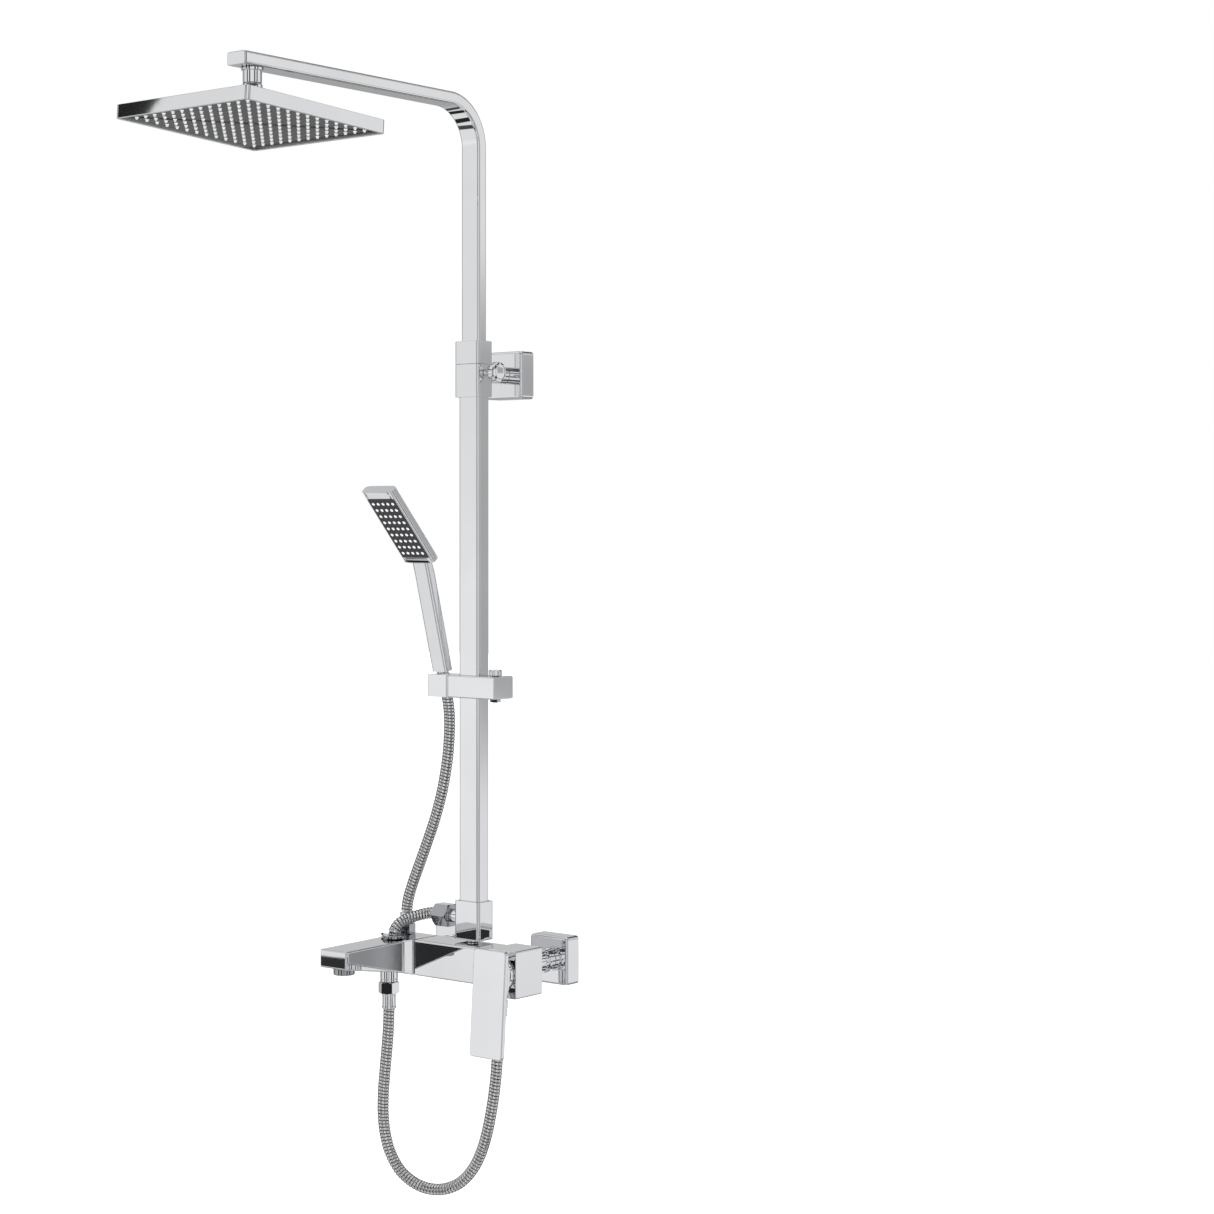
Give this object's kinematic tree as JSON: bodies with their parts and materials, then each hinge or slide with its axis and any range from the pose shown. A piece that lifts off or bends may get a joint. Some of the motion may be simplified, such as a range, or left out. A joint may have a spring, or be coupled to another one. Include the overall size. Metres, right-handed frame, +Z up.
{
  "type": "rainfall shower column",
  "caption": "Wall-mounted chrome shower column: lever mixer with spout and hoses, telescopic rail, square rain head on an arm and a stick hand shower on a sliding holder.",
  "frame": {"origin": "on the wall plane, midway between the centres of the two water inlets", "axes": "+X to the right seen from the front, +Y into the wall, +Z up"},
  "size_m": [0.2125, 0.5266, 1.2733],
  "materials": {
    "chrome": "bright polished chrome plate",
    "dark_chrome": "darker satin chrome of the hose nuts and small fittings",
    "head_plate": "polished stainless spray plate",
    "nozzle_rubber": "pale soft nozzle mat",
    "black_plastic": "black satin plastic",
    "seal_rubber": "dark sealing rubber",
    "hose_steel": "wound interlocking steel hose"
  },
  "bodies": {
    "root": {"escutcheon_left": "chrome", "escutcheon_right": "chrome", "escutcheon_upper": "chrome", "inlet_union_left": "chrome", "inlet_union_right": "chrome", "union_nut_left": "chrome", "union_nut_right": "chrome", "mixer_bar": "chrome", "spout_seal": "seal_rubber", "hub_block": "chrome", "cartridge_nut": "chrome", "spout": "chrome", "aerator": "dark_chrome", "top_nipple": "chrome", "loop_stub_left": "chrome", "loop_nut_left": "chrome", "loop_ferrule_left": "chrome", "loop_stub_right": "chrome", "loop_nut_right": "chrome", "loop_collar_right": "dark_chrome", "loop_ferrule_right": "chrome", "loop_hose": "hose_steel", "hand_nut_low": "dark_chrome", "hand_ferrule_low": "chrome", "hand_hose": "hose_steel", "link_hose": "hose_steel", "link_nut": "dark_chrome", "column_nipple": "chrome", "column_foot": "chrome", "column_base": "chrome", "lower_tube": "chrome", "wall_bracket": "chrome", "height_collar": "chrome", "bracket_stem": "chrome"},
    "column": {"upper_tube": "chrome", "arm_cap": "chrome", "arm_nipple": "chrome"},
    "head_swivel": {"swivel_nut": "chrome"},
    "rain_head": {"head_neck": "chrome", "head_housing": "chrome", "head_face": "head_plate", "head_mat": "nozzle_rubber"},
    "height_lock": {"height_knob": "chrome"},
    "slider": {"slider_block": "chrome", "slider_nut": "chrome"},
    "slider_lock": {"slider_knob": "chrome"},
    "holder": {"holder": "chrome"},
    "handset": {"hand_cone": "chrome", "hand_connector": "chrome", "hand_body": "chrome", "hand_face": "black_plastic"},
    "cartridge": {"cartridge_cap": "black_plastic"},
    "lever": {"lever_stem": "black_plastic", "lever": "chrome"},
    "diverter": {"diverter_ring": "dark_chrome"}
  },
  "joints": [
    {"name": "column_height", "type": "slide", "parent": "root", "child": "column", "axis": [0, 0, 1], "range_m": [-0.15, 0.15]},
    {"name": "height_knob_turn", "type": "hinge", "parent": "root", "child": "height_lock", "pos_m": [0.025, -0.0747, 0.6805], "axis": [1, 0, 0], "continuous": true},
    {"name": "head_swivel_turn", "type": "hinge", "parent": "column", "child": "head_swivel", "pos_m": [0.006, -0.425, 0.957], "axis": [0, 0, 1], "continuous": true},
    {"name": "head_tilt", "type": "hinge", "parent": "head_swivel", "child": "rain_head", "pos_m": [0.006, -0.425, 0.957], "axis": [1, 0, 0], "range_deg": [-12, 12]},
    {"name": "slider_height", "type": "slide", "parent": "root", "child": "slider", "axis": [0, 0, 1], "range_m": [-0.15, 0.01], "deforming": ["hand_hose"]},
    {"name": "slider_knob_turn", "type": "hinge", "parent": "slider", "child": "slider_lock", "pos_m": [0.04, -0.075, 0.334], "axis": [0, 0, 1], "continuous": true},
    {"name": "holder_tilt", "type": "hinge", "parent": "slider", "child": "holder", "pos_m": [-0.0193, -0.075, 0.317], "axis": [1, 0, 0], "range_deg": [-15, 30], "deforming": ["hand_hose"]},
    {"name": "handset_lift", "type": "slide", "parent": "holder", "child": "handset", "axis": [0, -0.2588, 0.9659], "range_m": [0, 0.03], "deforming": ["hand_hose"]},
    {"name": "lever_turn", "type": "hinge", "parent": "root", "child": "cartridge", "pos_m": [0.082, -0.112, -0.0035], "axis": [0, -1, 0], "range_deg": [-40, 40]},
    {"name": "lever_lift", "type": "hinge", "parent": "cartridge", "child": "lever", "pos_m": [0.082, -0.112, -0.0035], "axis": [-1, 0, 0], "range_deg": [0, 18]},
    {"name": "diverter_turn", "type": "hinge", "parent": "root", "child": "diverter", "pos_m": [-0.085, -0.112, 0.0225], "axis": [0, 0, 1], "range_deg": [-35, 35]}
  ]
}
